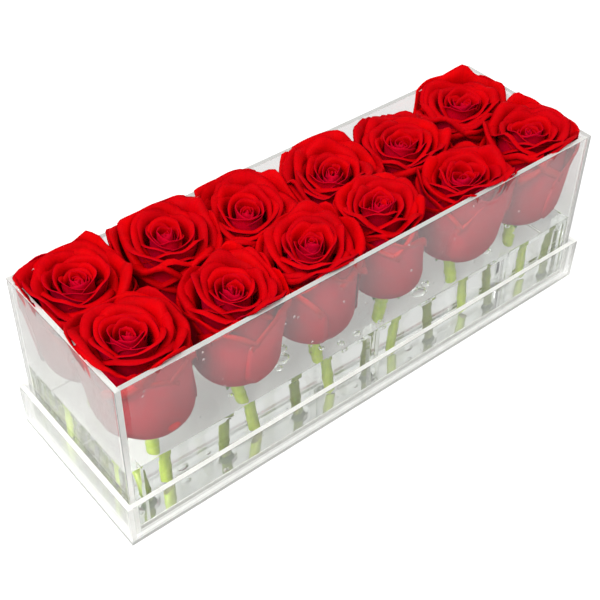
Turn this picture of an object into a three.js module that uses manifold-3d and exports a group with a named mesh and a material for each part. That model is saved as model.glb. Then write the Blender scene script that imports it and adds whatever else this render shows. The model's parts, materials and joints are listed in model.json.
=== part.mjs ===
// Twelve cut roses in a long clear acrylic box of water, standing in the box's own lid as a tray.
// Millimetres. +X runs along the box, +Y to its back, +Z up. The origin is the middle of the tray's underside.
import * as THREE from "three";
import { mergeVertices } from "three/addons/utils/BufferGeometryUtils.js";
import Module from "manifold-3d";

const wasm = await Module();
wasm.setup();

// Driving dimensions
const SHEET = 3; // every acrylic sheet's thickness
const BOX = { length: 320, width: 98, height: 102 };
const TRAY = { slack: 1, height: 28 }; // slack is the play all round between the box and the tray's rim
const GAP = 0.3; // play between pieces that rest on or lie beside each other
const PLATE = { top: 46, holeRadius: 7 }; // top is measured from the tray's underside
const POST = 8; // side of the square posts under the rose plate
const ROSES = { along: 6, across: 2 };
const STEM = { radius: 3.4, foot: 9, sides: 10 };
const BLOOM = { base: 48, height: 60, sides: 20, plumper: 1.05 };

// Worked out from them
const boxBottom = SHEET; // the box stands on the tray's floor
const waterBottom = boxBottom + SHEET + GAP;
const plateUnderside = PLATE.top - SHEET;
const waterTop = plateUnderside - GAP;
const inside = { length: BOX.length - 2 * SHEET, width: BOX.width - 2 * SHEET };
const tray = {
  length: BOX.length + 2 * (TRAY.slack + SHEET),
  width: BOX.width + 2 * (TRAY.slack + SHEET),
};
const cell = { length: inside.length / ROSES.along, width: inside.width / ROSES.across };
const hip = { bottom: plateUnderside + 0.2, radius: 5.4 };

const acrylic = new THREE.MeshStandardMaterial({
  color: 0xe9efee,
  roughness: 0.05,
  metalness: 0,
  transparent: true,
  opacity: 0.35,
});
const water = new THREE.MeshStandardMaterial({
  color: 0xdfeaec,
  roughness: 0.02,
  metalness: 0,
  transparent: true,
  opacity: 0.4,
});
const petal = new THREE.MeshStandardMaterial({ color: 0xc4001a, roughness: 0.6, metalness: 0 });
const stemGreen = new THREE.MeshStandardMaterial({ color: 0x8fb43a, roughness: 0.5, metalness: 0 });
const sepalGreen = new THREE.MeshStandardMaterial({ color: 0x5f8f3a, roughness: 0.6, metalness: 0 });

/** A named flat-sided sheet or post, by its size and the point in the middle of its underside. */
function block(name, [length, width, height], [x, y, bottom], material = acrylic) {
  const mesh = new THREE.Mesh(new THREE.BoxGeometry(length, width, height), material);
  mesh.name = name;
  mesh.position.set(x, y, bottom + height / 2);
  return mesh;
}

/** Four walls on edge: the end walls run the full width and the long ones are butted between them. */
function walls(prefix, suffix, length, width, bottom, height) {
  const endX = (length - SHEET) / 2;
  const sideY = (width - SHEET) / 2;
  return [
    block(`${prefix}_left_${suffix}`, [SHEET, width, height], [-endX, 0, bottom]),
    block(`${prefix}_right_${suffix}`, [SHEET, width, height], [endX, 0, bottom]),
    block(`${prefix}_front_${suffix}`, [length - 2 * SHEET, SHEET, height], [0, -sideY, bottom]),
    block(`${prefix}_back_${suffix}`, [length - 2 * SHEET, SHEET, height], [0, sideY, bottom]),
  ];
}

/** The lid turned over: a floor with a low rim, in which the box stands. */
function lidTray() {
  const group = new THREE.Group();
  group.add(block("tray_floor", [tray.length, tray.width, SHEET], [0, 0, 0]));
  group.add(...walls("tray", "rim", tray.length, tray.width, SHEET, TRAY.height - SHEET));
  return group;
}

/** The open-topped box, bonded from four walls and a floor let in between them. */
function flowerBox() {
  const group = new THREE.Group();
  group.add(block("box_floor", [inside.length, inside.width, SHEET], [0, 0, boxBottom]));
  group.add(...walls("box", "wall", BOX.length, BOX.width, boxBottom, BOX.height));
  return group;
}

/** Where the roses stand, row by row: the middle of each one's share of the plate. */
function rosePlaces() {
  const places = [];
  for (let row = 0; row < ROSES.across; row++) {
    for (let column = 0; column < ROSES.along; column++) {
      const label = `${row === 0 ? "front" : "back"}_${column + 1}`;
      const x = (column - (ROSES.along - 1) / 2) * cell.length;
      const y = (row - (ROSES.across - 1) / 2) * cell.width;
      places.push({ label, row, column, x, y });
    }
  }
  return places;
}

/** The lift-out plate with a hole for each stem. */
function rosePlate(places) {
  const halfLength = inside.length / 2 - 0.5;
  const halfWidth = inside.width / 2 - 0.5;
  const outline = new THREE.Shape();
  outline.moveTo(-halfLength, -halfWidth);
  outline.lineTo(halfLength, -halfWidth);
  outline.lineTo(halfLength, halfWidth);
  outline.lineTo(-halfLength, halfWidth);
  outline.closePath();
  for (const { x, y } of places) {
    outline.holes.push(new THREE.Path().absarc(x, y, PLATE.holeRadius, 0, 2 * Math.PI, true));
  }
  const geometry = new THREE.ExtrudeGeometry(outline, {
    depth: SHEET,
    bevelEnabled: false,
    curveSegments: 20,
  });
  const mesh = new THREE.Mesh(geometry, acrylic);
  mesh.name = "rose_plate";
  mesh.position.z = plateUnderside;
  return mesh;
}

/** Square posts that carry the plate: one in each corner and one half way along each long side. */
function platePosts() {
  const bottom = boxBottom + SHEET;
  const reachX = (inside.length - POST) / 2;
  const reachY = (inside.width - POST) / 2;
  const posts = [];
  for (const [side, y] of [["front", -reachY], ["back", reachY]]) {
    for (const [place, x] of [["left", -reachX], ["middle", 0], ["right", reachX]]) {
      posts.push(block(`plate_post_${side}_${place}`, [POST, POST, plateUnderside - bottom], [x, y, bottom]));
    }
  }
  return posts;
}

/** A solid of revolution about +Z from [radius, height] pairs that start and end on the axis. */
function turned(profile, sides) {
  const points = profile.map(([radius, height]) => new THREE.Vector2(radius, height));
  const geometry = new THREE.LatheGeometry(points, sides);
  geometry.rotateX(Math.PI / 2);
  return geometry;
}

/** Moves each vertex of a geometry to shape(vertex). */
function reshape(geometry, shape) {
  const position = geometry.attributes.position;
  const vertex = new THREE.Vector3();
  for (let i = 0; i < position.count; i++) {
    vertex.fromBufferAttribute(position, i);
    shape(vertex);
    position.setXYZ(i, vertex.x, vertex.y, vertex.z);
  }
  geometry.deleteAttribute("normal");
  geometry.deleteAttribute("uv");
  return geometry;
}

/** How far each stem leans between the plate and its foot, [x, y], along the front row and then the back row. */
const LEANS = [
  [[0, 0], [4, -1], [3, -2], [-2, 1], [2, -2], [1, 0]],
  [[-4, 0], [3, 2], [-3, -1], [4, 1], [-2, 2], [-4, 0]],
];

/** A stem: round, a little curved, with a slanting cut at its foot. */
function stemGeometry(place, radius, foot, top) {
  const [leanX, leanY] = LEANS[place.row][place.column];
  const middle = (foot + top) / 2;
  const profile = [
    [0, foot],
    [radius, foot],
    [radius, middle],
    [radius, top],
    [0, top],
  ];
  const cut = 0.7; // height that the cut loses per millimetre across
  return reshape(turned(profile, STEM.sides), (v) => {
    if (v.z < foot + 0.01) v.z += cut * v.x;
    const down = Math.max(0, (top - v.z) / (top - foot));
    v.x += leanX * down ** 1.4;
    v.y += leanY * down ** 1.4;
  });
}

/** The height above the plate's frame of a bloom's rounded underside, at a radius. */
function underside(radius) {
  return BLOOM.base + 0.0188 * radius ** 2;
}

/** The calyx: a hip that sits in the plate's hole, with five sepals under the bloom. */
function calyxGeometry(turn) {
  const notch = 7.4;
  const tip = 13;
  const thickness = 1;
  const profile = [
    [0, hip.bottom],
    [STEM.radius + 0.2, hip.bottom],
    [hip.radius, hip.bottom + 2],
    [hip.radius, PLATE.top + 0.2],
    [10, 0],
    [tip, 0],
    [tip, 1],
    [10, 1],
    [hip.radius, underside(hip.radius) - GAP],
    [0, BLOOM.base - GAP],
  ];
  const sepals = 5;
  return reshape(turned(profile, 4 * sepals), (v) => {
    if (v.z > 1) return;
    const upper = v.z === 1;
    const angle = Math.atan2(v.y, v.x);
    const radius = Math.hypot(v.x, v.y);
    const lobe = Math.abs(Math.cos((sepals / 2) * (angle + turn))) ** 1.5;
    const reach = notch + (radius - notch) * lobe;
    v.x *= reach / radius;
    v.y *= reach / radius;
    v.z = underside(reach) - GAP - (upper ? 0 : thickness);
  });
}

/** Brings a coordinate inside a limit, softly, so that nested petals stay nested. */
function squeezed(value, limit) {
  const free = 0.72 * limit;
  const over = Math.abs(value) - free;
  if (over <= 0) return value;
  return Math.sign(value) * (free + (limit - free) * Math.tanh(over / (limit - free)));
}

/**
 * A rose head as one solid: a rounded bowl, a turned-out lip, and rings of petal edges round a bud.
 * Each ring is [radius, height share, petals round it, radial wave, height wave].
 */
function bloomGeometry({ row, column, x, y }) {
  const rings = [
    [0, 0, 0, 0, 0],
    [8, 0.021, 0, 0, 0],
    [15.5, 0.078, 0, 0, 0],
    [21, 0.2, 0, 0, 0],
    [24, 0.42, 0, 0, 0],
    [24.6, 0.68, 5, 0.3, 0],
    [25.4, 0.86, 5, 0.8, 0.5],
    [30, 0.93, 5, 2.4, 1.2],
    [27.5, 0.965, 5, 1.6, 1.2],
    [22, 0.9, 5, 0.8, 0.6],
    [19.5, 1, 5, 1, 1],
    [15.5, 0.88, 5, 0.8, 0.4],
    [12.5, 0.985, 3, 1, 0.9],
    [9, 0.87, 3, 0.6, 0],
    [6, 0.95, 3, 0.8, 0.6],
    [3, 0.93, 3, 0.4, 0.4],
    [0, 0.96, 0, 0, 0],
  ];
  const tall = (row + column) % 2 === 0;
  const height = BLOOM.height * (tall ? BLOOM.plumper : 1);
  const turn = 1.7 * column + 2.3 * row;
  const levels = rings.map(([, share]) => BLOOM.base + share * height);
  const profile = rings.map(([radius], i) => [radius, levels[i]]);
  return reshape(turned(profile, BLOOM.sides), (v) => {
    const ring = levels.findIndex((level) => Math.abs(level - v.z) < 1e-3);
    const [radius, , petals, radialWave, heightWave] = rings[ring];
    if (radius > 0) {
      const angle = Math.atan2(v.y, v.x);
      const wave = Math.cos(petals * angle + turn + 0.9 * ring) - 1;
      const scale = 1 + (radialWave * wave) / radius;
      v.x *= scale;
      v.y *= scale;
      v.z += heightWave * wave;
    }
    v.x = squeezed(v.x, cell.length / 2 - GAP) + x;
    v.y = squeezed(v.y, cell.width / 2 - GAP) + y;
  });
}

/** A mesh of a closed geometry, standing at a place. */
function piece(name, geometry, material, x = 0, y = 0) {
  const mesh = new THREE.Mesh(geometry, material);
  mesh.name = name;
  mesh.position.set(x, y, 0);
  return mesh;
}

/** One rose: its stem, its calyx and its bloom. */
function rose(place) {
  const { label, x, y, row, column } = place;
  const group = new THREE.Group();
  const stem = stemGeometry(place, STEM.radius, STEM.foot, hip.bottom - GAP);
  group.add(piece(`rose_${label}_stem`, stem, stemGreen, x, y));
  group.add(piece(`rose_${label}_calyx`, calyxGeometry(0.6 * column + row), sepalGreen, x, y));
  group.add(piece(`rose_${label}_bloom`, bloomGeometry(place), petal));
  return group;
}

/** A closed geometry as a manifold-3d solid. */
function solid(geometry) {
  const merged = mergeVertices(reshape(geometry, () => {}), 1e-3);
  return new wasm.Manifold(
    new wasm.Mesh({
      numProp: 3,
      vertProperties: new Float32Array(merged.attributes.position.array),
      triVerts: new Uint32Array(merged.index.array),
    }),
  );
}

/** The water between the box's floor and the plate, with room left for every stem and post. */
function waterBody(places) {
  const length = inside.length - 2 * GAP;
  const width = inside.width - 2 * GAP;
  const depth = waterTop - waterBottom;
  const middle = (waterTop + waterBottom) / 2;
  let body = solid(new THREE.BoxGeometry(length, width, depth).translate(0, 0, middle));
  for (const place of places) {
    const room = stemGeometry(place, STEM.radius + GAP, STEM.foot - GAP, plateUnderside);
    body = body.subtract(solid(room.translate(place.x, place.y, 0)));
  }
  for (const post of platePosts()) {
    const side = POST + 2 * GAP;
    const room = new THREE.BoxGeometry(side, side, BOX.height);
    body = body.subtract(solid(room.translate(post.position.x, post.position.y, post.position.z)));
  }
  const { vertProperties, triVerts } = body.getMesh();
  const geometry = new THREE.BufferGeometry();
  geometry.setAttribute("position", new THREE.BufferAttribute(vertProperties, 3));
  geometry.setIndex(new THREE.BufferAttribute(triVerts, 1));
  return piece("water", geometry, water);
}

const places = rosePlaces();
const roseBox = new THREE.Group();
roseBox.add(lidTray(), flowerBox(), rosePlate(places), ...platePosts(), waterBody(places));
roseBox.add(...places.map(rose));

export default roseBox;
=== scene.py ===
"""Twelve open red roses in a clear acrylic box of water, which stands in its own lid as a tray."""

import sys

import json
import logging
import math
from collections.abc import Sequence
from dataclasses import dataclass, field
from enum import Enum

import bmesh
import bpy
import numpy as np
from mathutils import Matrix, Quaternion, Vector

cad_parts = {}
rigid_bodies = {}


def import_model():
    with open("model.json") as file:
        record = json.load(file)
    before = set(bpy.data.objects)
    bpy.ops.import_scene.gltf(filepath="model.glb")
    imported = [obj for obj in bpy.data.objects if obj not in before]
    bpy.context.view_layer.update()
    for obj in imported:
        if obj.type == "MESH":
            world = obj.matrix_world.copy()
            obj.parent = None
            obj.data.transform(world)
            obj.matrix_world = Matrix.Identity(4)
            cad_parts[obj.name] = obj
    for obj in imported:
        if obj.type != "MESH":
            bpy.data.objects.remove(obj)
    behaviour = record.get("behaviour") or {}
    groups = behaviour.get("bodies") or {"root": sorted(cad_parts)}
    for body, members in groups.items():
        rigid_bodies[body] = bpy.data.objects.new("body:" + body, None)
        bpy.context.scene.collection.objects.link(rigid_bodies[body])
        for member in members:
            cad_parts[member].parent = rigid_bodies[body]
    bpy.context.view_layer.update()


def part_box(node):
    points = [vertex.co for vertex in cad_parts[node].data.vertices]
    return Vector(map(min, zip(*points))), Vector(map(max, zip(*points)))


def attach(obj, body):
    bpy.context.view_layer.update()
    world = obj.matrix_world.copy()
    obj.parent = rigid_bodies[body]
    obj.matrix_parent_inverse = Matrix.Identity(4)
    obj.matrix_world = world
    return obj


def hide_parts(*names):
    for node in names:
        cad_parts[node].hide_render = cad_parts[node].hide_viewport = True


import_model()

MM = 0.001
GOLDEN_ANGLE = math.radians(137.508)
ACRYLIC_INDEX = 1.49
WATER_INDEX = 1.333
LOG = logging.getLogger("rose_box")

Socket = bpy.types.NodeSocket
Material = bpy.types.Material
Piece = bpy.types.Object
Kit = bmesh.types.BMesh
Pair = tuple[float, float]
Triple = tuple[float, float, float]
Grading = tuple[Pair, ...]


# ---------------------------------------------------------------- helpers


class NodeSheet:
    """A new material and short ways to add and join its nodes."""

    def __init__(self, name: str) -> None:
        """Starts a material with a Principled shader joined to its output.

        Args:
            name: The material's name.
        """
        self.material = bpy.data.materials.new(name)
        self.material.use_nodes = True
        self.tree = self.material.node_tree
        self.tree.nodes.clear()
        self.output = self.tree.nodes.new("ShaderNodeOutputMaterial")
        self.shader = self.tree.nodes.new("ShaderNodeBsdfPrincipled")
        self.link(self.shader.outputs[0], self.output.inputs["Surface"])

    def add(self, kind: str, **settings: object) -> bpy.types.Node:
        """Adds a node and sets its properties and unlinked inputs.

        Args:
            kind: The node's type name, without the leading "ShaderNode".
            settings: Property names, or input names with underscores for spaces, and their values.

        Returns:
            The new node.
        """
        node = self.tree.nodes.new(f"ShaderNode{kind}")
        for key, value in settings.items():
            if hasattr(node, key):
                setattr(node, key, value)
            else:
                node.inputs[key.replace("_", " ")].default_value = value
        return node

    def link(self, source: Socket, target: Socket) -> None:
        """Joins an output to an input."""
        self.tree.links.new(source, target)

    def set(self, **values: object) -> None:
        """Sets the Principled shader's own sockets, with underscores for spaces."""
        for key, value in values.items():
            self.shader.inputs[key.replace("_", " ")].default_value = value

    def feed(self, name: str, source: Socket) -> None:
        """Joins an output to one of the Principled shader's own sockets."""
        self.link(source, self.shader.inputs[name])

    def objects(self, scale: Sequence[float] = (1, 1, 1)) -> Socket:
        """Object coordinates through a Mapping node.

        Args:
            scale: How much each axis is stretched.

        Returns:
            The Mapping node's output.
        """
        coordinates = self.add("TexCoord")
        mapping = self.add("Mapping", Scale=scale)
        self.link(coordinates.outputs["Object"], mapping.inputs["Vector"])
        return mapping.outputs[0]

    def noise(
        self, vector: Socket, scale: float, detail: float = 3.0, roughness: float = 0.5
    ) -> Socket:
        """Noise in a coordinate.

        Args:
            vector: The coordinate.
            scale: The noise's scale.
            detail: How many finer layers it has.
            roughness: How strong the finer layers are.

        Returns:
            The noise value, 0 to 1.
        """
        node = self.add("TexNoise", Scale=scale, Detail=detail, Roughness=roughness)
        self.link(vector, node.inputs["Vector"])
        return node.outputs["Fac"]

    def ramp(self, value: Socket, stops: Sequence[tuple[float, Sequence[float]]]) -> Socket:
        """A colour from a value.

        Args:
            value: The value that picks the colour.
            stops: Positions and their RGB colours, in rising order.

        Returns:
            The colour output.
        """
        node = self.add("ValToRGB")
        elements = node.color_ramp.elements
        while len(elements) < len(stops):
            elements.new(0.5)
        for element, (position, colour) in zip(elements, stops):
            element.position = position
            element.color = (*colour, 1.0)
        self.link(value, node.inputs["Fac"])
        return node.outputs["Color"]

    def blend(self, factor: object, first: object, second: object, mode: str = "MIX") -> Socket:
        """Blends two colours.

        Args:
            factor: A number or an output, 0 to 1.
            first: An RGB colour or an output.
            second: An RGB colour or an output.
            mode: The blend mode.

        Returns:
            The blended colour.
        """
        node = self.add("Mix", data_type="RGBA", blend_type=mode)
        for number, value in {0: factor, 6: first, 7: second}.items():
            if isinstance(value, Socket):
                self.link(value, node.inputs[number])
            elif isinstance(value, (int, float)):
                node.inputs[number].default_value = value
            else:
                node.inputs[number].default_value = (*value, 1.0)
        return node.outputs[2]

    def remap(
        self, value: Socket, low: float, high: float, new_low: float, new_high: float
    ) -> Socket:
        """Maps a value smoothly from one range to another, held at the ends.

        Args:
            value: The value.
            low: Start of its range.
            high: End of its range.
            new_low: What the start becomes.
            new_high: What the end becomes.

        Returns:
            The mapped value.
        """
        ends = {"From_Min": low, "From_Max": high, "To_Min": new_low, "To_Max": new_high}
        node = self.add("MapRange", interpolation_type="SMOOTHSTEP", **ends)
        self.link(value, node.inputs["Value"])
        return node.outputs["Result"]

    def bump(self, height: Socket, strength: float, distance: float) -> None:
        """Raises the Principled shader's surface by a height.

        Args:
            height: The height, 0 to 1.
            strength: How much of it shows.
            distance: How far 1 stands up, in metres.
        """
        node = self.add("Bump", Strength=strength, Distance=distance)
        self.link(height, node.inputs["Height"])
        self.feed("Normal", node.outputs[0])


def make_piece(
    name: str,
    kit: Kit,
    materials: Sequence[Material],
    slot: str,
    *nodes: str,
    smooth: bool = False,
    clear: bool = False,
) -> Piece:
    """Turns a finished bmesh into a piece of the object.

    Args:
        name: The piece's name.
        kit: Its bmesh, in metres and in place. It is freed.
        materials: Its materials, in index order.
        slot: The record's material slot name; not used.
        nodes: The CAD nodes it stands for.
        smooth: Whether its faces are shaded smooth.
        clear: Whether it lets the lamps' light straight through.

    Returns:
        The new object.
    """
    for face in kit.faces:
        face.smooth = smooth
    mesh = bpy.data.meshes.new(name)
    kit.to_mesh(mesh)
    kit.free()
    for material in materials:
        mesh.materials.append(material)
    piece = bpy.data.objects.new(name, mesh)
    piece.visible_shadow = not clear
    bpy.context.scene.collection.objects.link(piece)
    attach(piece, "root")
    if nodes:
        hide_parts(*nodes)
    LOG.info("%s: %d faces", name, len(mesh.polygons))
    return piece


def span(node: str) -> tuple[Vector, Vector]:
    """Returns a CAD node's lowest and highest corner."""
    low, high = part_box(node)
    return Vector(low), Vector(high)


def block(low: Vector, high: Vector) -> Kit:
    """Starts a bmesh with a block in it.

    Args:
        low: The block's lowest corner.
        high: Its highest corner.

    Returns:
        The new bmesh.
    """
    kit = bmesh.new()
    bmesh.ops.create_cube(kit, size=1.0)
    bmesh.ops.scale(kit, vec=high - low, verts=kit.verts)
    bmesh.ops.translate(kit, vec=(low + high) / 2, verts=kit.verts)
    return kit


def ease(kit: Kit, offset: float, edges: Sequence[bmesh.types.BMEdge] | None = None) -> None:
    """Takes the sharpness off edges.

    Args:
        kit: The bmesh.
        offset: How far from each edge the easing starts.
        edges: The edges, or None for all of them.
    """
    bmesh.ops.bevel(
        kit,
        geom=kit.edges[:] if edges is None else edges,
        offset=offset,
        offset_type="OFFSET",
        affect="EDGES",
        segments=2,
        profile=0.5,
        material=-1,
    )


def step(value: np.ndarray, low: float, high: float) -> np.ndarray:
    """A smooth step from 0 at low to 1 at high.

    Args:
        value: Where it is read.
        low: Where it leaves 0.
        high: Where it reaches 1.

    Returns:
        The step at each value.
    """
    share = np.clip((value - low) / (high - low), 0.0, 1.0)
    return share * share * (3.0 - 2.0 * share)


def graded(share: float, table: Sequence[Pair]) -> float:
    """Reads a grading.

    Args:
        share: Where it is read.
        table: Pairs of place and value, in rising order.

    Returns:
        The value there, on straight lines between the pairs.
    """
    places, values = zip(*table)
    return float(np.interp(share, places, values))


def ripple(u: np.ndarray, chance: np.random.Generator, low: float, high: float) -> np.ndarray:
    """A sine wave across a petal, with its own rate and start.

    Args:
        u: Places across the petal.
        chance: Random numbers.
        low: The slowest rate.
        high: The fastest rate.

    Returns:
        The wave at each place.
    """
    rate = chance.uniform(low, high)
    return np.sin(rate * u + chance.uniform(0, 6.3))


# ---------------------------------------------------------------- finishes


@dataclass(frozen=True)
class Clear:
    """Something smooth and clear. Inside the water, its index is against the water's."""

    name: str
    index: float
    tint: Triple = (0.99, 1.0, 0.995)
    grain: float = 60.0
    detail: float = 1.0
    unevenness: float = 0.03
    height: float = 0.4 * MM

    def build(self) -> Material:
        """Returns the material."""
        kit = NodeSheet(self.name)
        kit.set(Base_Color=(*self.tint, 1), Roughness=0.0, IOR=self.index)
        kit.set(Transmission_Weight=1.0)
        noise = kit.noise(kit.objects(), self.grain, self.detail)
        kit.bump(noise, self.unevenness, self.height)
        return kit.material


@dataclass(frozen=True)
class SatinEdge:
    """The satin, whitish edge that a saw leaves on acrylic sheet, a little rougher if bonded."""

    name: str
    roughness: float
    clearness: float = 0.45
    colour: Triple = (0.8, 0.8, 0.765)
    cloud_colour: Triple = (0.94, 0.94, 0.91)

    def build(self) -> Material:
        """Returns the material."""
        kit = NodeSheet(self.name)
        kit.set(Roughness=self.roughness, IOR=ACRYLIC_INDEX, Transmission_Weight=self.clearness)
        marks = kit.noise(kit.objects((400, 400, 90)), 6.0, 2.0)
        cloud = kit.noise(kit.objects(), 60.0, 2.0)
        pale = kit.blend(cloud, self.colour, self.cloud_colour)
        sawn = kit.ramp(marks, [(0.3, (0.7, 0.7, 0.68)), (0.7, (1, 1, 1))])
        kit.feed("Base Color", kit.blend(0.25, pale, sawn, "MULTIPLY"))
        kit.bump(marks, 0.25, 0.1 * MM)
        return kit.material


class PetalSide(Enum):
    """The parts of a petal that look different, each with its scarlet, crimson and deep red."""

    # The deep reds also serve as painted shade at each petal's foot. The outer face is the
    # reverse's own duller red, made darker still as painted shade in the crevices between petals.
    INNER = ((0.68, 0.0, 0.001), (0.5, 0.0, 0.003), (0.12, 0.0, 0.001))
    OUTER = ((0.6, 0.0, 0.015), (0.48, 0.0, 0.022), (0.26, 0.0, 0.008))
    RIM = ((0.6, 0.0, 0.01), (0.5, 0.001, 0.02), (0.3, 0.0, 0.01))


@dataclass(frozen=True)
class PetalSkin:
    """Velvety red petal skin with veins up the petal, painted shade at its foot and a painted
    cooler sheen at its lip.
    """

    side: PetalSide

    def build(self) -> Material:
        """Returns the material."""
        kit = NodeSheet(f"petal_{self.side.name.lower()}")
        scarlet, crimson, deep = self.side.value
        kit.set(Roughness=0.6, IOR=1.4, Specular_IOR_Level=0.03)
        kit.set(Sheen_Weight=0.05, Sheen_Roughness=0.4, Sheen_Tint=(1, 0.0, 0.03, 1))
        kit.set(Subsurface_Weight=0.18, Subsurface_Radius=(1.0, 0.12, 0.08))
        kit.set(Subsurface_Scale=1.2 * MM)
        place = kit.add("UVMap", uv_map="petal")
        split = kit.add("SeparateXYZ")
        kit.link(place.outputs["UV"], split.inputs[0])
        up = split.outputs["Y"]
        tint = kit.add("Attribute", attribute_name="tint")
        stretch = kit.add("Mapping", Scale=(70.0, 2.2, 1.0))
        kit.link(place.outputs["UV"], stretch.inputs["Vector"])
        veins = kit.noise(stretch.outputs[0], 1.0, 3.0, 0.6)
        cloud = kit.noise(kit.objects(), 90.0, 2.0)
        colour = kit.blend(tint.outputs["Fac"], scarlet, crimson)
        colour = kit.blend(kit.remap(cloud, 0.35, 0.75, 0.0, 0.35), colour, deep)
        # Painted sheen: the lip turns a cooler crimson, standing in for the glancing sheen on the
        # edge.
        colour = kit.blend(kit.remap(up, 0.9, 1.0, 0.0, 0.55), colour, crimson)
        # Painted shade: deep red towards the petal's foot, down in the bloom.
        colour = kit.blend(kit.remap(up, 0.3, 0.75, 0.75, 0.0), colour, deep)
        colour = kit.blend(kit.remap(veins, 0.45, 0.75, 0.0, 0.16), colour, deep)
        kit.feed("Base Color", colour)
        kit.bump(veins, 0.3, 0.4 * MM)
        return kit.material


@dataclass(frozen=True)
class StemSkin:
    """Fresh yellow-green stem skin with fine streaks and a few brown marks."""

    pale: Triple = (0.68, 0.8, 0.12)
    brown: Triple = (0.16, 0.05, 0.04)

    def build(self) -> Material:
        """Returns the material."""
        kit = NodeSheet("stem_skin")
        kit.set(Roughness=0.38, IOR=1.45, Specular_IOR_Level=0.4)
        kit.set(Subsurface_Weight=0.15, Subsurface_Radius=(0.6, 1.0, 0.2), Subsurface_Scale=MM)
        streaks = kit.noise(kit.objects((900, 900, 45)), 1.0, 3.0)
        cloud = kit.noise(kit.objects(), 120.0, 2.0)
        marks = kit.noise(kit.objects((1, 1, 0.6)), 260.0, 1.0)
        colour = kit.ramp(streaks, [(0.3, (0.38, 0.56, 0.015)), (0.7, (0.6, 0.76, 0.05))])
        colour = kit.blend(kit.remap(cloud, 0.4, 0.7, 0.0, 0.5), colour, self.pale)
        colour = kit.blend(kit.remap(marks, 0.72, 0.78, 0.0, 0.8), colour, self.brown)
        kit.feed("Base Color", colour)
        kit.bump(streaks, 0.35, 0.3 * MM)
        return kit.material


@dataclass(frozen=True)
class PlantSkin:
    """Matte plant skin with a fine grain, for a stem's cut and for sepals and hips."""

    name: str
    grain: float
    detail: float
    colours: tuple[tuple[float, Triple], ...]
    height: float

    def build(self) -> Material:
        """Returns the material."""
        kit = NodeSheet(self.name)
        kit.set(Roughness=0.55, IOR=1.45, Specular_IOR_Level=0.3)
        grain = kit.noise(kit.objects(), self.grain, self.detail)
        kit.feed("Base Color", kit.ramp(grain, self.colours))
        kit.bump(grain, 0.4, self.height)
        return kit.material


@dataclass(frozen=True)
class Mist:
    """Fine condensation: specks that hide part of what is behind them. Heights in metres."""

    name: str
    cover: float
    colour: Triple = (0.36, 0.345, 0.325)
    foot_share: float = 0.6
    full_height: float = 0.058

    def build(self) -> Material:
        """Returns the material."""
        kit = NodeSheet(self.name)
        kit.set(Base_Color=(*self.colour, 1), Roughness=0.8, Specular_IOR_Level=0.0)
        broad = kit.noise(kit.objects(), 30.0, 3.0)
        specks = kit.noise(kit.objects(), 900.0, 1.0)
        split = kit.add("SeparateXYZ")
        kit.link(kit.objects(), split.inputs[0])
        up = split.outputs["Z"]
        low = kit.remap(up, 0.047, self.full_height, self.foot_share, 1.0)
        high = kit.remap(up, 0.085, 0.104, 1.0, 0.8)
        patches = kit.remap(broad, 0.3, 0.7, 0.92, 1.08)
        amount = kit.remap(specks, 0.35, 0.65, 0.9 * self.cover, 1.1 * self.cover)
        for number, share in enumerate((patches, low, high)):
            product = kit.add("Math", operation="MULTIPLY", use_clamp=number > 0)
            kit.link(amount, product.inputs[0])
            kit.link(share, product.inputs[1])
            amount = product.outputs[0]
        kit.feed("Alpha", amount)
        return kit.material


@dataclass(frozen=True)
class TableTop:
    """A plain pale table top, which looks whiter directly than it does through the acrylic."""

    glow: float = 0.42
    whitening: float = 0.36

    def build(self) -> Material:
        """Returns the material."""
        kit = NodeSheet("table_top")
        kit.set(Roughness=0.9, Specular_IOR_Level=0.1, Emission_Color=(1, 1, 1, 1))
        cloud = kit.noise(kit.objects(), 4.0, 2.0)
        kit.feed("Base Color", kit.ramp(cloud, [(0.3, (0.38,) * 3), (0.7, (0.4,) * 3)]))
        direct = kit.add("LightPath").outputs["Is Camera Ray"]
        glow = kit.remap(direct, 0.0, 1.0, self.glow, self.glow + self.whitening)
        kit.feed("Emission Strength", glow)
        return kit.material


STEM_CUT = PlantSkin(
    "stem_cut", 900.0, 2.0, ((0.3, (0.32, 0.34, 0.03)), (0.7, (0.55, 0.56, 0.16))), 0.2 * MM
)
SEPAL_SKIN = PlantSkin(
    "sepal_skin",
    160.0,
    3.0,
    ((0.3, (0.1, 0.22, 0.03)), (0.6, (0.2, 0.36, 0.06)), (0.8, (0.3, 0.4, 0.1))),
    0.4 * MM,
)


class Finishes:
    """Every finish of the object, made once."""

    def __init__(self) -> None:
        """Builds the materials."""
        acrylic_tint = (0.962, 0.965, 0.952)
        water_tint = (0.985, 0.997, 0.99)
        # True acrylic is 1.12 to the water's 1: less of it keeps the plate's edge from mirroring.
        wet_index = 1.06
        self.acrylic = Clear(
            "clear_acrylic", ACRYLIC_INDEX, acrylic_tint, 22.0, 1.0, 0.06, 0.6 * MM
        ).build()
        self.sawn = SatinEdge("sawn_edge", 0.28).build()
        self.bonded = SatinEdge("bonded_edge", 0.3).build()
        self.water = Clear(
            "still_water", WATER_INDEX, water_tint, 35.0, 2.0, 0.05, 0.8 * MM
        ).build()
        self.wet_acrylic = Clear("acrylic_in_water", wet_index).build()
        self.air = Clear("air_in_water", 1 / WATER_INDEX).build()
        self.petals = [PetalSkin(side).build() for side in PetalSide]
        self.stem = StemSkin().build()
        self.cut = STEM_CUT.build()
        self.sepal = SEPAL_SKIN.build()


# ---------------------------------------------------------------- acrylic


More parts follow.
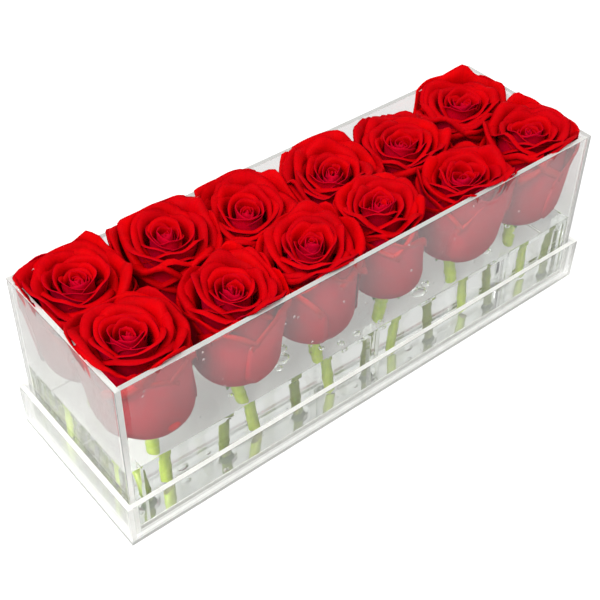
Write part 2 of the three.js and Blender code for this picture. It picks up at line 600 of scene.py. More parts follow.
@dataclass
class AcrylicSheets:
    """A set of bonded acrylic sheets, each the size of its CAD node, with eased edges."""

    finishes: Finishes
    nodes: tuple[str, ...]
    play: float = 0.05 * MM
    easing: float = 0.3 * MM

    def sheet(self, node: str) -> Piece:
        """Builds one sheet.

        Args:
            node: The CAD node it stands for.

        Returns:
            The sheet.
        """
        low, high = span(node)
        inset = Vector((self.play,) * 3)
        thin = min(range(3), key=lambda axis: high[axis] - low[axis])
        kit = block(low + inset, high - inset)
        for face in kit.faces:
            if abs(face.normal[thin]) < 0.9:
                face.material_index = 1 if self.bare(face) else 2
        ease(kit, self.easing)
        materials = [self.finishes.acrylic, self.finishes.sawn, self.finishes.bonded]
        return make_piece(f"{node}_sheet", kit, materials, "clear_acrylic", node, clear=True)

    def bare(self, face: bmesh.types.BMFace) -> bool:
        """Whether a sheet's edge is bare to the eye, not bonded to another or underneath.

        Args:
            face: The edge's face.

        Returns:
            True on the outside and on top.
        """
        middle = face.calc_center_median()
        axis = max(range(3), key=lambda number: abs(face.normal[number]))
        ends = [corner[axis] for node in self.nodes for corner in span(node)]
        near = max(ends) if face.normal[axis] > 0 else min(ends)
        return abs(middle[axis] - near) < 4 * self.play and face.normal.z > -0.5

    def build(self) -> list[Piece]:
        """Returns every sheet, built."""
        return [self.sheet(node) for node in self.nodes]


@dataclass
class RosePlate:
    """The perforated plate that holds the roses upright, on six square posts."""

    finishes: Finishes
    holes: Sequence[Vector]
    hole_radius: float = 7.0 * MM
    sides: int = 48
    post_play: Triple = (0.7 * MM, 0.7 * MM, 0.4 * MM)
    post_easing: float = 0.4 * MM

    def plate(self) -> Piece:
        """Returns the plate, raised from one tile for each rose with a round hole in each."""
        low, high = span("rose_plate")
        kit = bmesh.new()
        for hole in self.holes:
            self.tile(kit, hole, low, high)
        bmesh.ops.remove_doubles(kit, verts=kit.verts, dist=0.02 * MM)
        bmesh.ops.recalc_face_normals(kit, faces=kit.faces)
        raised = bmesh.ops.extrude_face_region(kit, geom=kit.faces[:])
        top = [item for item in raised["geom"] if isinstance(item, bmesh.types.BMVert)]
        bmesh.ops.translate(kit, vec=(0, 0, high.z - low.z), verts=top)
        bmesh.ops.recalc_face_normals(kit, faces=kit.faces)
        materials = [self.finishes.wet_acrylic]
        return make_piece(
            "rose_plate_sheet", kit, materials, "clear_acrylic", "rose_plate", clear=True
        )

    def tile(self, kit: Kit, hole: Vector, low: Vector, high: Vector) -> None:
        """Adds one tile of the plate with its hole.

        Args:
            kit: The bmesh it is added to.
            hole: The hole's centre.
            low: The plate's lowest corner.
            high: The plate's highest corner.
        """
        along = sorted({round(place.x, 6) for place in self.holes})
        column = along.index(round(hole.x, 6))
        left = low.x if column == 0 else (along[column - 1] + hole.x) / 2
        right = high.x if column == len(along) - 1 else (along[column + 1] + hole.x) / 2
        front, back = (low.y, 0.0) if hole.y < 0 else (0.0, high.y)
        ring = bmesh.ops.create_circle(kit, segments=self.sides, radius=self.hole_radius)["verts"]
        bmesh.ops.translate(kit, vec=(hole.x, hole.y, low.z), verts=ring)
        border = bmesh.ops.create_circle(kit, segments=self.sides, radius=1.0)["verts"]
        for vert in border:
            far = max(abs(vert.co.x), abs(vert.co.y))
            x, y = vert.co.x / far, vert.co.y / far
            across = (right - hole.x) if x > 0 else (hole.x - left)
            deep = (back - hole.y) if y > 0 else (hole.y - front)
            vert.co = Vector((hole.x + x * across, hole.y + y * deep, low.z))
        own = {*ring, *border}
        edges = [edge for edge in kit.edges if not edge.link_faces and edge.verts[0] in own]
        bmesh.ops.bridge_loops(kit, edges=edges)

    def posts(self) -> list[Piece]:
        """Returns the posts, which stand in the water and so bend light only a little."""
        pieces = []
        play = Vector(self.post_play)
        for side in ("front", "back"):
            for place in ("left", "middle", "right"):
                node = f"plate_post_{side}_{place}"
                low, high = span(node)
                kit = block(low + play, high - play)
                ease(kit, self.post_easing)
                materials = [self.finishes.wet_acrylic]
                piece = make_piece(
                    f"{node}_bar", kit, materials, "clear_acrylic", node, clear=True
                )
                pieces.append(piece)
        return pieces

    def build(self) -> list[Piece]:
        """Returns the plate and its posts."""
        return [self.plate(), *self.posts()]


# ---------------------------------------------------------------- water


@dataclass
class WaterBody:
    """The water, with air trapped under the plate in pockets: X, Y, radius in millimetres."""

    finishes: Finishes
    seed: int = 11
    wetting: float = 0.35 * MM
    easing: float = 0.25 * MM
    count: int = 34
    deepest: float = 1.9
    placed: tuple[Triple, ...] = (
        (-51.5, -28.5, 5.0),
        (-47.0, -22.5, 3.8),
        (-57.0, -33.0, 2.4),
        (42.3, -35.5, 5.2),
        (49.5, -33.0, 3.0),
        (-19.5, -39.6, 2.2),
        (-7.7, -39.2, 2.6),
        (8.3, -40.5, 2.0),
        (-30.0, -36.0, 1.8),
        (98.0, -34.0, 3.4),
        (-104.0, 30.0, 3.6),
        (60.0, 20.0, 3.2),
    )

    def body(self) -> Piece:
        """Returns the water, one eased block that just wets the plate over."""
        low, high = span("water")
        high.z = span("rose_plate")[1].z + self.wetting
        kit = block(low, high)
        ease(kit, self.easing)
        return make_piece("water_body", kit, [self.finishes.water], "water", "water", clear=True)

    def pockets(self) -> Piece:
        """Returns the flat pockets of air under the plate."""
        top = span("water")[1].z
        chance = np.random.default_rng(self.seed)
        kit = bmesh.new()
        for number in range(self.count):
            if number < len(self.placed):
                x, y, radius = self.placed[number]
            else:
                radius = chance.uniform(0.7, 1.9)
                x = chance.uniform(-145, 145)
                y = chance.uniform(-38, 38)
            ball = bmesh.ops.create_uvsphere(kit, u_segments=24, v_segments=12, radius=1.0)["verts"]
            depth = min(0.6 * radius, self.deepest)
            size = Vector((radius, radius * chance.uniform(0.75, 1.0), depth)) * MM
            bmesh.ops.scale(kit, vec=size, verts=ball)
            bmesh.ops.translate(
                kit, vec=(x * MM, y * MM, top - (depth + 0.15) * MM), verts=ball
            )
        air = [self.finishes.air]
        return make_piece("trapped_air", kit, air, "water", smooth=True, clear=True)

    def build(self) -> list[Piece]:
        """Returns the water and its air pockets."""
        return [self.body(), self.pockets()]


@dataclass
class Condensation:
    """Mist inside the walls above the water: each wall, its axis, its inward way and its mist."""

    foot: float = 46.5 * MM
    short_of_top: float = 2 * MM
    short_of_ends: float = 4 * MM
    off_wall: float = 0.12 * MM
    half_thickness: float = 0.02 * MM
    walls: tuple[tuple[str, int, int, Mist], ...] = (
        ("box_left_wall", 0, 1, Mist("box_left_wall_mist", 0.4)),
        ("box_right_wall", 0, -1, Mist("box_right_wall_mist", 0.14)),
        (
            "box_front_wall",
            1,
            1,
            Mist("box_front_wall_mist", 0.06, (0.76, 0.6, 0.63), 0.0, 0.098),
        ),
    )

    def build(self) -> list[Piece]:
        """Returns a thin film of mist for each wall."""
        films = []
        for node, axis, inward, mist in self.walls:
            low, high = span(node)
            low.z = self.foot
            high.z -= self.short_of_top
            low[1 - axis] += self.short_of_ends
            high[1 - axis] -= self.short_of_ends
            face = (high if inward > 0 else low)[axis] + inward * self.off_wall
            low[axis], high[axis] = face - self.half_thickness, face + self.half_thickness
            film = make_piece(mist.name, block(low, high), [mist.build()], "water", clear=True)
            films.append(film)
        return films


@dataclass
class WallDrops:
    """Drops of water and bits of petal inside the front wall. Spots are X, Z, radius in mm."""

    finishes: Finishes
    count: int = 44
    seed: int = 23
    spots: tuple[Triple, ...] = ((-130.6, 61.3, 2.9), (134.4, 79.4, 1.5))
    petal_place: Pair = (0.5, 0.9)

    def drops(self) -> Piece:
        """Returns the drops, flat lenses a little taller than they are wide."""
        chance = np.random.default_rng(self.seed)
        low, high = span("box_front_wall")
        kit = bmesh.new()
        for _ in range(self.count):
            radius = chance.uniform(0.25, 0.85) * MM
            x = chance.uniform(low.x + 8 * MM, high.x - 8 * MM)
            place = Vector((x, high.y + 0.1 * MM + 0.36 * radius, chance.uniform(0.05, 0.1)))
            ball = bmesh.ops.create_uvsphere(kit, u_segments=12, v_segments=8, radius=radius)
            verts = ball["verts"]
            bmesh.ops.scale(kit, vec=(1.0, 0.35, chance.uniform(1.0, 1.5)), verts=verts)
            bmesh.ops.translate(kit, vec=place, verts=verts)
        water = [self.finishes.water]
        return make_piece("wall_drops", kit, water, "water", smooth=True, clear=True)

    def clinging(self) -> Piece:
        """Returns the bits of petal that lie wet against the wall."""
        chance = np.random.default_rng(self.seed + 1)
        wall = span("box_front_wall")[1].y
        upright = Matrix.Rotation(math.pi / 2, 3, "X")
        kit = bmesh.new()
        for x, z, radius in self.spots:
            disc = bmesh.ops.create_circle(kit, cap_ends=True, segments=20, radius=radius * MM)
            verts = disc["verts"]
            for vert in verts:
                vert.co *= chance.uniform(0.8, 1.15)
            bmesh.ops.rotate(kit, cent=(0, 0, 0), matrix=upright, verts=verts)
            bmesh.ops.scale(kit, vec=(1.25, 1.0, 0.85), verts=verts)
            bmesh.ops.translate(kit, vec=(x * MM, wall + 0.05 * MM, z * MM), verts=verts)
        raised = bmesh.ops.extrude_face_region(kit, geom=kit.faces[:])["geom"]
        top = [item for item in raised if isinstance(item, bmesh.types.BMVert)]
        bmesh.ops.translate(kit, vec=(0, 0.03 * MM, 0), verts=top)
        bmesh.ops.recalc_face_normals(kit, faces=kit.faces)
        spread = kit.loops.layers.uv.new("petal")
        for loop in (loop for face in kit.faces for loop in face.loops):
            loop[spread].uv = self.petal_place
        return make_piece("clinging_petal_bits", kit, [self.finishes.petals[0]], "petal_red")

    def build(self) -> list[Piece]:
        """Returns the drops and the clinging bits of petal."""
        return [self.drops(), self.clinging()]


# ---------------------------------------------------------------- roses


@dataclass(frozen=True)
class Grades:
    """How a petal's shape goes from the heart (0) to the outside (1). Millimetres and degrees."""

    radius: Grading = ((0, 3.0), (0.2, 5.8), (0.45, 10.6), (0.7, 15.8), (0.85, 20.2), (1, 24.6))
    top: Grading = ((0, 51.5), (0.15, 52.5), (0.35, 55.5), (0.6, 56.8), (0.8, 55.8), (1, 53.5))
    bowl: Grading = ((0, 24), (0.5, 20), (1, 16))
    flare: Grading = ((0, 2), (0.3, 3), (0.5, 5), (0.7, 7.5), (0.85, 10.5), (1, 13))
    curl: Grading = ((0, -25), (0.15, -5), (0.3, 25), (0.5, 60), (0.7, 85), (0.85, 100), (1, 110))
    lean: Grading = ((0, -6), (0.3, -2), (0.6, 2), (1, 3))
    half_width: Grading = ((0, 9), (0.2, 13), (0.5, 22), (0.8, 30), (1, 35))
    shoulder: Grading = ((0, 0.05), (0.5, 0.12), (1, 0.2))
    point: Grading = ((0, 0.01), (0.4, 0.022), (0.7, 0.05), (1, 0.09))
    nick: Grading = ((0, 0.003), (0.4, 0.008), (1, 0.016))
    wave: Grading = ((0, 0.3), (0.5, 1.0), (1, 2.1))
    pinch: Grading = ((0, 0.5), (0.5, 0.6), (1, 0.2))


@dataclass
class Neighbourhood:
    """What a rose head may not pass: the walls and the heads beside it. Millimetres."""

    centres: dict[str, "RosePlace"]
    halves: Pair = (156.6, 45.6)
    rim: float = 105.0
    widest: float = 28.6
    overhang: float = 3.6
    overhang_band: Pair = (-1.5, 0.2)
    overlap: float = 1.2
    give: float = 0.02
    far: float = 75.0
    free_share: float = 0.8
    droop: float = 0.45
    droop_band: Pair = (80.0, 96.0)
    lip_height: float = 4.4
    lip_gather: float = 0.65
    lip_reach: Pair = (-5.0, -0.5)
    lip_band: Pair = (-9.0, -6.0)

    def soften(self, distance: np.ndarray, limit: np.ndarray) -> np.ndarray:
        """Brings distances inside a limit, softly.

        Args:
            distance: How far out each point is.
            limit: The furthest each may be.

        Returns:
            The new distances.
        """
        free = self.free_share * limit
        room = limit - free
        over = np.maximum(distance - free, 0.0)
        return np.where(distance > free, free + room * np.tanh(over / room), distance)

    def drape(self, spots: np.ndarray, height: np.ndarray) -> np.ndarray:
        """Lays the petal edges that reach a wall over its top edge.

        Args:
            spots: X and Y in millimetres in the row frame.
            height: The height of each.

        Returns:
            The heights, those near a wall's top lifted clear of it, still in the same order.
        """
        past = (np.abs(spots) - self.halves).max(axis=1)
        low, high = (self.rim + edge for edge in self.lip_band)
        near = step(past, *self.lip_reach) * step(height, low, high)
        short = np.maximum(self.rim + self.lip_height - height, 0.0)
        return height + self.lip_gather * short * near

    def squeeze(self, own: "RosePlace", points: np.ndarray) -> np.ndarray:
        """Moves a head's points inside its own share of the box.

        Args:
            own: The rose.
            points: Its points, in millimetres in the row frame.

        Returns:
            The moved points.
        """
        centre = own.axis(points[:, 2])
        offset = points[:, :2] - centre
        width = np.maximum(np.linalg.norm(offset, axis=1), 0.001)
        offset *= (self.soften(width, self.widest * own.size) / width)[:, None]
        for other in self.centres.values():
            if other.label == own.label:
                continue
            apart = other.axis(points[:, 2]) - centre
            distance = np.linalg.norm(apart, axis=1)
            if distance.min() > self.far:
                continue
            normal = apart / distance[:, None]
            reach = np.sum(offset * normal, axis=1)
            share = distance * (0.5 + self.give * (own.lift - other.lift)) + self.overlap
            offset += (self.soften(reach, share) - reach)[:, None] * normal
        pushed = np.maximum(width - np.linalg.norm(offset, axis=1), 0.0)
        height = points[:, 2] - self.droop * pushed * step(points[:, 2], *self.droop_band)
        height = self.drape(centre + offset, height)
        low, high = (self.rim + edge for edge in self.overhang_band)
        free = self.overhang * step(height, low, high)
        for axis, half in enumerate(self.halves):
            for sign in (-1.0, 1.0):
                reach = sign * offset[:, axis]
                limit = half - sign * centre[:, axis] + free
                offset[:, axis] = sign * self.soften(reach, limit)
        return np.column_stack((centre + offset, height))


@dataclass
class RosePlace:
    """One rose: its hole in the plate, and how its head stands over it. Millimetres and degrees."""

    label: str
    hole: Pair
    shift: Pair
    lift: float
    turn: float
    seed: int
    openness: float = 1.0
    size: float = 1.0
    nod: float = 0.07
    band: Pair = (46.0, 100.0)

    def axis(self, height: np.ndarray) -> np.ndarray:
        """Where the head's axis is at a height.

        Args:
            height: Heights in millimetres.

        Returns:
            An X, Y pair for each height.
        """
        share = step(height, *self.band)
        return np.column_stack([at + way * share for at, way in zip(self.hole, self.shift)])


@dataclass
class RoseHead:
    """A rose head: petals set round the heart by the golden angle, nested one inside the next."""

    place: RosePlace
    around: Neighbourhood
    finishes: Finishes
    grades: Grades = field(default_factory=Grades)
    petals: int = 30
    across: int = 20
    along: int = 26
    base: float = 48.0
    thickness: float = 0.3
    facing: Pair = (-0.67, -0.74)
    tilt_band: Pair = (20.0, 60.0)
    nod_band: Pair = (25.0, 50.0)
    lift_band: Pair = (52.0, 90.0)

    def petal(
        self, number: int, u: np.ndarray, v: np.ndarray, chance: np.random.Generator
    ) -> np.ndarray:
        """Shapes one petal about the head's upright axis.

        Args:
            number: Which petal, counted from the heart.
            u: Place across the petal, -1 to 1, as rows up the petal by columns across it.
            v: Place up the petal, 0 to 1.
            chance: The head's own random numbers.

        Returns:
            A row of X, Y, Z for each point, in millimetres.
        """
        share = number / (self.petals - 1)
        grades = self.grades
        size = self.place.size
        turn = math.radians(self.place.turn)
        radius = graded(share, grades.radius) * size * (1 + chance.uniform(-0.012, 0.012))
        bowl = graded(share, grades.bowl)
        root = 1.5 + 2.0 * share
        flare = graded(share, grades.flare) * chance.uniform(0.85, 1.15)
        opened = graded(min(share * self.place.openness, 1.0), grades.curl)
        curl = math.radians(opened + chance.uniform(-12, 12))
        lean = math.radians(graded(share, grades.lean) + chance.uniform(-1.5, 1.5))
        top = graded(share, grades.top) + chance.uniform(-1.0, 1.0)
        bowl_length = math.pi / 2 * math.sqrt(((radius - root) ** 2 + bowl**2) / 2)
        drop = math.sin(abs(curl)) / abs(curl) if abs(curl) > 1e-3 else 1.0
        length = bowl_length + max(top - bowl - flare * drop, 2.0) / math.cos(lean) + flare
        shoulder = graded(share, grades.shoulder) * chance.uniform(0.85, 1.2)
        lopsided = chance.uniform(-0.06, 0.06)
        tip = chance.uniform(-0.3, 0.3)
        # How far up the petal reaches at each place across it.
        outline = 1 - shoulder * np.abs(u) ** chance.uniform(2.2, 3.6)
        outline += lopsided * u * (1 - np.abs(u))
        point = graded(share, grades.point) * chance.uniform(0.3, 1.6)
        outline += point * np.exp(-(((u - tip) / 0.2) ** 2))
        outline += graded(share, grades.nick) * ripple(u, chance, 5, 11)
        # Out round the bowl, then up and over, each point placed by its way along the petal.
        travelled = v * outline * length
        angle = np.minimum(travelled / bowl_length, 1.0) * math.pi / 2
        r = root + (radius - root) * np.sin(angle)
        z = 2.0 * (1 - share) + bowl * (1 - np.cos(angle))
        past = np.maximum(travelled - bowl_length, 0.0)
        rise = np.diff(past, axis=0, prepend=0.0)
        to_edge = outline * length - travelled
        rolled = np.clip(1 - to_edge / flare, 0.0, 1.0) ** 1.3
        folds = chance.uniform(0.1, 0.9, 2)
        side_roll = 1 + np.where(u < tip, *folds) * (u - tip) ** 2 * float(step(share, 0.25, 0.6))
        slope = lean * step(past, 0.0, 8.0) + (curl - lean) * rolled * side_roll
        r = r + np.cumsum(np.sin(slope) * rise, axis=0)
        z = z + np.cumsum(np.cos(slope) * rise, axis=0)
        # Slow ripples in the upper half, and quicker ones where it rolls over.
        wave = graded(share, grades.wave) * step(v, 0.5, 1.0)
        r = r + wave * ripple(u, chance, 2.2, 3.6)
        r = r + 0.3 * wave * rolled * ripple(u, chance, 6, 10)
        z = z + 0.7 * wave * ripple(u, chance, 2.5, 4.5)
        # Wrapped round the heart: the innermost petal is rolled up like a scroll.
        half = graded(share, grades.half_width) * size
        breadth = (0.3 + 0.7 * step(v, 0.0, 0.5)) * (1 - 0.13 * v**5)
        if number == 0:
            spread = 6.6 * u * breadth
            r = r - 0.8 + 1.7 * u
        else:
            spread = np.clip(half / radius, 0.2, 2.35) * u * breadth
            r = r - graded(share, grades.pinch) * np.abs(u) ** 3
        angle = spread + number * GOLDEN_ANGLE + turn + chance.uniform(-0.2, 0.2)
        r = r * (1 + 0.14 * (1 - share) * np.cos(2 * angle + self.place.seed))
        parts = (r * np.cos(angle), r * np.sin(angle), z)
        return np.column_stack([part.ravel() for part in parts])

    def build(self) -> Piece:
        """Returns the head as one piece of thin, separate petals."""
        label = self.place.label
        chance = np.random.default_rng(self.place.seed)
        kit = bmesh.new()
        kit.loops.layers.uv.new("petal")
        tints = kit.verts.layers.float.new("tint")
        heart = chance.uniform(-2.2, 2.2, 2)
        for number in range(self.petals):
            grid = bmesh.ops.create_grid(
                kit, x_segments=self.across, y_segments=self.along, size=1.0, calc_uvs=True
            )
            verts = grid["verts"]
            flat = np.array([vert.co for vert in verts])
            rows = flat.reshape(self.along + 1, self.across + 1, 3)
            points = self.petal(number, rows[:, :, 0], (rows[:, :, 1] + 1) / 2, chance)
            tilt = chance.uniform(-1.2, 1.2, 2) + heart * (1 - number / self.petals) ** 1.5
            points[:, :2] += tilt * step(points[:, 2], *self.tilt_band)[:, None]
            nod = self.place.nod * (points[:, :2] @ self.facing)
            points[:, 2] -= nod * step(points[:, 2], *self.nod_band)
            points[:, 2] += self.base
            points[:, :2] += self.place.axis(points[:, 2])
            lift = self.place.lift * (1 - 0.7 * number / self.petals)
            points[:, 2] += lift * step(points[:, 2], *self.lift_band)
            points = self.around.squeeze(self.place, points)
            tint = float(chance.uniform(0, 1))
            for vert, point in zip(verts, points):
                vert.co = point * MM
                vert[tints] = tint
        bmesh.ops.reverse_faces(kit, faces=kit.faces)
        piece = make_piece(
            f"rose_{label}_petals",
            kit,
            self.finishes.petals,
            "petal_red",
            f"rose_{label}_bloom",
            smooth=True,
        )
        skin = piece.modifiers.new("petal_thickness", "SOLIDIFY")
        skin.thickness = self.thickness * MM
        skin.offset = -1.0
        skin.material_offset = 1
        skin.material_offset_rim = 2
        return piece


@dataclass
class Calyx:
    """The hip that joins stem and head, with sepals folded back from it. Millimetres."""

    place: RosePlace
    finishes: Finishes
    sepals: int = 5
    thickness: float = 0.35
    outline: Grading = (
        *((0, 43.3), (3.1, 43.3), (3.9, 43.8), (4.8, 45.2)),
        *((5.3, 46.6), (5.0, 47.8), (3.4, 48.4), (0, 48.5)),
    )

    def hip(self, kit: Kit) -> None:
        """Adds the hip, spun from its outline.

        Args:
            kit: The bmesh it is added to.
        """
        verts = [kit.verts.new((radius * MM, 0, height * MM)) for radius, height in self.outline]
        edges = [kit.edges.new(pair) for pair in zip(verts, verts[1:])]
        bmesh.ops.spin(
            kit,
            geom=verts + edges,
            cent=(0, 0, 0),
            axis=(0, 0, 1),
            angle=math.tau,
            steps=28,
            use_merge=True,
        )
        bmesh.ops.remove_doubles(kit, verts=kit.verts, dist=0.01 * MM)
        bmesh.ops.recalc_face_normals(kit, faces=kit.faces)

    def sepal(self, kit: Kit, bearing: float, chance: np.random.Generator) -> None:
        """Adds one sepal, a tapering leaf that lies out from the hip and curls down at its tip.

        Args:
            kit: The bmesh it is added to.
            bearing: The way it points, in radians.
            chance: The rose's own random numbers.
        """
        verts = bmesh.ops.create_grid(kit, x_segments=8, y_segments=16, size=1.0)["verts"]
        reach = chance.uniform(8.0, 10.0)
        twist = chance.uniform(-0.25, 0.25)
        for vert in verts:
            u, v = vert.co.x, (vert.co.y + 1) / 2
            out = 3.5 + reach * v
            side = u * (3.4 * (1 - v) ** 0.7 + 0.25) + 1.5 * twist * v * v
            height = 47.9 + 0.9 * math.sin(math.pi * v) - 1.6 * v**3 + 0.5 * abs(u) * (1 - v)
            x = out * math.cos(bearing) - side * math.sin(bearing)
            y = out * math.sin(bearing) + side * math.cos(bearing)
            vert.co = Vector((x, y, height)) * MM

    def build(self) -> Piece:
        """Returns the calyx."""
        label = self.place.label
        turn = math.radians(self.place.turn)
        chance = np.random.default_rng(self.place.seed + 500)
        leaves = bmesh.new()
        for number in range(self.sepals):
            self.sepal(leaves, turn + number * math.tau / self.sepals, chance)
        bmesh.ops.solidify(leaves, geom=leaves.faces[:], thickness=self.thickness * MM)
        sheet = bpy.data.meshes.new("sepal_sheet")
        leaves.to_mesh(sheet)
        leaves.free()
        kit = bmesh.new()
        self.hip(kit)
        kit.from_mesh(sheet)
        bpy.data.meshes.remove(sheet)
        bmesh.ops.translate(kit, vec=Vector((*self.place.hole, 0)) * MM, verts=kit.verts)
        return make_piece(
            f"rose_{label}_sepals",
            kit,
            [self.finishes.sepal],
            "sepal_green",
            f"rose_{label}_calyx",
            smooth=True,
        )


@dataclass
class Stem:
    """A cut stem that leans in the water, with two joints and a slanting foot. Millimetres."""

    place: RosePlace
    finishes: Finishes
    lean: Pair
    top: float = 43.1
    foot: float = 9.0
    radius: float = 3.4
    rings: int = 30
    sides: int = 24
    swelling: float = 0.45
    easing: float = 0.25

    def build(self) -> Piece:
        """Returns the stem, a rod cut into rings that are set down its own bent line."""
        label = self.place.label
        chance = np.random.default_rng(self.place.seed + 900)
        joints = [chance.uniform(14, 24), chance.uniform(28, 38)]
        slant = chance.uniform(0.5, 0.9)
        facing = chance.uniform(0, math.tau)
        kit = bmesh.new()
        bmesh.ops.create_cone(
            kit, cap_ends=True, segments=self.sides, radius1=1.0, radius2=1.0, depth=1.0
        )
        upright = [edge for edge in kit.edges if abs(edge.verts[0].co.z - edge.verts[1].co.z) > 0.5]
        bmesh.ops.subdivide_edges(kit, edges=upright, cuts=self.rings - 1)
        for vert in kit.verts:
            down = 0.5 - vert.co.z
            height = self.top + (self.foot - self.top) * down
            bulge = sum(math.exp(-(((height - joint) / 1.3) ** 2)) for joint in joints)
            radius = self.radius * (1 + 0.03 * math.sin(height * 0.4 + facing))
            radius += self.swelling * bulge
            out = Vector((vert.co.x, vert.co.y, 0)) * radius
            if down > 0.999:
                out.z = slant * (out.x * math.cos(facing) + out.y * math.sin(facing))
            bend = down**1.4
            x, y = (at + way * bend for at, way in zip(self.place.hole, self.lean))
            vert.co = (Vector((x, y, height)) + out) * MM
        bmesh.ops.recalc_face_normals(kit, faces=kit.faces)
        caps = [face for face in kit.faces if len(face.verts) > 4]
        for face in caps:
            face.material_index = 1 if face.calc_center_median().z < 0.02 else 0
        ease(kit, self.easing * MM, [edge for face in caps for edge in face.edges])
        return make_piece(
            f"rose_{label}_stalk",
            kit,
            [self.finishes.stem, self.finishes.cut],
            "stem_green",
            f"rose_{label}_stem",
            smooth=True,
        )


@dataclass
class RoseBed:
    """The twelve roses, two rows of six, with how far each stem's foot leans. Millimetres."""

    finishes: Finishes
    pitch: Pair = (314 / 6, 46.0)
    leans: tuple[Pair, ...] = (
        *((0, 0), (4, -1), (3, -2), (-2, 1), (2, -2), (1, 0)),
        *((-4, 0), (3, 2), (-3, -1), (4, 1), (-2, 2), (-4, 0)),
    )
    first_seed: int = 40

    def places(self) -> list[RosePlace]:
        """Returns every rose's place. Heads push each other about, so each leans its own way."""
        # Each head's shift over its hole, its lift, turn, openness and size.
        leaning = {
            "front_1": ((-3.2, 3.5), 1.0, 20, 1.0, 1.04),
            "front_2": ((2.4, 0.5), -2.0, 75, 0.95, 1.0),
            "front_3": ((0.5, 2.0), 1.0, 140, 1.0, 1.02),
            "front_4": ((-2.0, 4.5), 1.0, 200, 0.85, 0.88),
            "front_5": ((2.8, -2.8), -3.0, 260, 0.95, 1.0),
            "front_6": ((7.0, 0.5), 1.0, 310, 1.05, 1.0),
            "back_1": ((-2.8, 5.6), 2.0, 50, 1.0, 1.06),
            "back_2": ((-1.5, 6.0), 2.0, 100, 1.0, 1.06),
            "back_3": ((-6.5, -1.1), -1.5, 170, 1.05, 1.1),
            "back_4": ((-1.3, -3.0), -1.5, 230, 1.0, 1.08),
            "back_5": ((-4.2, -6.5), -2.5, 290, 0.95, 1.04),
            "back_6": ((-2.0, 1.0), -0.5, 350, 1.05, 1.0),
        }
        places = []
        for number, (label, stance) in enumerate(leaning.items()):
            shift, lift, turn, openness, size = stance
            row, column = divmod(number, 6)
            hole = ((column - 2.5) * self.pitch[0], (row - 0.5) * self.pitch[1])
            seed = self.first_seed + number
            places.append(RosePlace(label, hole, shift, lift, turn, seed, openness, size))
        return places

    def build(self) -> list[Piece]:
        """Returns every rose's head, calyx and stem."""
        places = self.places()
        around = Neighbourhood({place.label: place for place in places})
        pieces = []
        for number, place in enumerate(places):
            pieces.append(RoseHead(place, around, self.finishes).build())
            pieces.append(Calyx(place, self.finishes).build())
            pieces.append(Stem(place, self.finishes, self.leans[number]).build())
        return pieces


# ---------------------------------------------------------------- studio


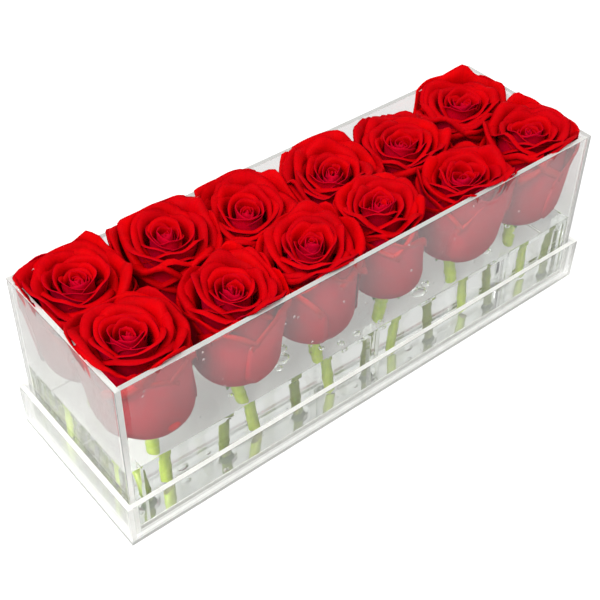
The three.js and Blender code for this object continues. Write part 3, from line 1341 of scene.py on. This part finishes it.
@dataclass
class Studio:
    """A pale table, soft light and the camera."""

    eye: Triple = (-0.31346, -0.35714, 0.46921)
    aim: Triple = (-0.02669, -0.01498, 0.06)
    roll: float = math.radians(0.964)
    lens: float = 67.755
    table_size: float = 8.0
    table_gap: float = 0.2 * MM
    lamp_aim: Triple = (0, 0, 0.1)
    low_sky: float = 0.8
    glow: float = 0.78
    direct_glow: float = 1.3

    def table(self) -> None:
        """Lays the table top under the object."""
        kit = bmesh.new()
        bmesh.ops.create_grid(kit, x_segments=8, y_segments=8, size=self.table_size)
        bmesh.ops.translate(kit, vec=(0, 0, -self.table_gap), verts=kit.verts)
        mesh = bpy.data.meshes.new("table_top")
        kit.to_mesh(mesh)
        kit.free()
        mesh.materials.append(TableTop().build())
        top = bpy.data.objects.new("table_top", mesh)
        bpy.context.scene.collection.objects.link(top)

    def sky(self) -> None:
        """Lights the room softly, brighter from above, with white walls to the eye."""
        world = bpy.data.worlds.new("room")
        world.use_nodes = True
        bpy.context.scene.world = world
        tree = world.node_tree
        tree.nodes.clear()
        place = tree.nodes.new("ShaderNodeTexCoord")
        split = tree.nodes.new("ShaderNodeSeparateXYZ")
        ramp = tree.nodes.new("ShaderNodeValToRGB")
        direct = tree.nodes.new("ShaderNodeLightPath")
        glow = tree.nodes.new("ShaderNodeMapRange")
        background = tree.nodes.new("ShaderNodeBackground")
        output = tree.nodes.new("ShaderNodeOutputWorld")
        ends = zip(ramp.color_ramp.elements, ((0.0, self.low_sky), (0.8, 1.0)))
        for element, (position, shade) in ends:
            element.position = position
            element.color = (shade, shade, shade, 1)
        glow.inputs["To Min"].default_value = self.glow
        glow.inputs["To Max"].default_value = self.direct_glow
        for source, target in (
            (place.outputs["Generated"], split.inputs[0]),
            (split.outputs["Z"], ramp.inputs["Fac"]),
            (ramp.outputs["Color"], background.inputs["Color"]),
            (direct.outputs["Is Camera Ray"], glow.inputs["Value"]),
            (glow.outputs["Result"], background.inputs["Strength"]),
            (background.outputs[0], output.inputs["Surface"]),
        ):
            tree.links.new(source, target)

    def lamp(self, name: str, place: Sequence[float], size: float, power: float) -> None:
        """Hangs one soft square lamp that faces the box.

        Args:
            name: Its name.
            place: Where it hangs, in metres.
            size: Its side, in metres.
            power: Its power, in watts.
        """
        light = bpy.data.lights.new(name, "AREA")
        light.shape = "SQUARE"
        light.size = size
        light.energy = power
        lamp = bpy.data.objects.new(name, light)
        lamp.location = place
        look = (Vector(self.lamp_aim) - Vector(place)).to_track_quat("-Z", "Y")
        lamp.rotation_euler = look.to_euler()
        bpy.context.scene.collection.objects.link(lamp)

    def camera(self) -> None:
        """Sets up the camera, with a slight roll and no depth of field."""
        data = bpy.data.cameras.new("camera")
        data.lens = self.lens
        data.sensor_width = 36.0
        data.dof.use_dof = False
        data.clip_start = 0.01
        camera = bpy.data.objects.new("camera", data)
        camera.location = self.eye
        look = (Vector(self.aim) - Vector(self.eye)).to_track_quat("-Z", "Y")
        camera.rotation_euler = (look @ Quaternion((0, 0, 1), self.roll)).to_euler()
        bpy.context.scene.collection.objects.link(camera)
        bpy.context.scene.camera = camera

    def build(self) -> None:
        """Sets up everything round the object."""
        scene = bpy.context.scene
        scene.view_settings.view_transform = "Standard"
        scene.cycles.max_bounces = 28
        scene.cycles.transmission_bounces = 28
        scene.cycles.transparent_max_bounces = 16
        scene.cycles.diffuse_bounces = 2
        scene.cycles.glossy_bounces = 8
        self.table()
        self.sky()
        self.lamp("window", (-1.7, -0.5, 2.6), 1.4, 84.0)
        self.camera()


def main() -> None:
    """Builds the object and its surroundings, piece by piece."""
    logging.basicConfig(level=logging.INFO, format="%(message)s", stream=sys.stdout)
    finishes = Finishes()
    Studio().build()
    bed = RoseBed(finishes)
    holes = [Vector((place.hole[0] * MM, place.hole[1] * MM, 0)) for place in bed.places()]
    tray_nodes = ("floor", "left_rim", "right_rim", "front_rim", "back_rim")
    box_nodes = ("floor", "left_wall", "right_wall", "front_wall", "back_wall")
    parts = (
        AcrylicSheets(finishes, tuple(f"tray_{node}" for node in tray_nodes)),
        AcrylicSheets(finishes, tuple(f"box_{node}" for node in box_nodes)),
        RosePlate(finishes, holes),
        WaterBody(finishes),
        Condensation(),
        WallDrops(finishes),
        bed,
    )
    for part in parts:
        LOG.info("%s: %d pieces", type(part).__name__, len(part.build()))


if __name__ == "__main__":
    main()
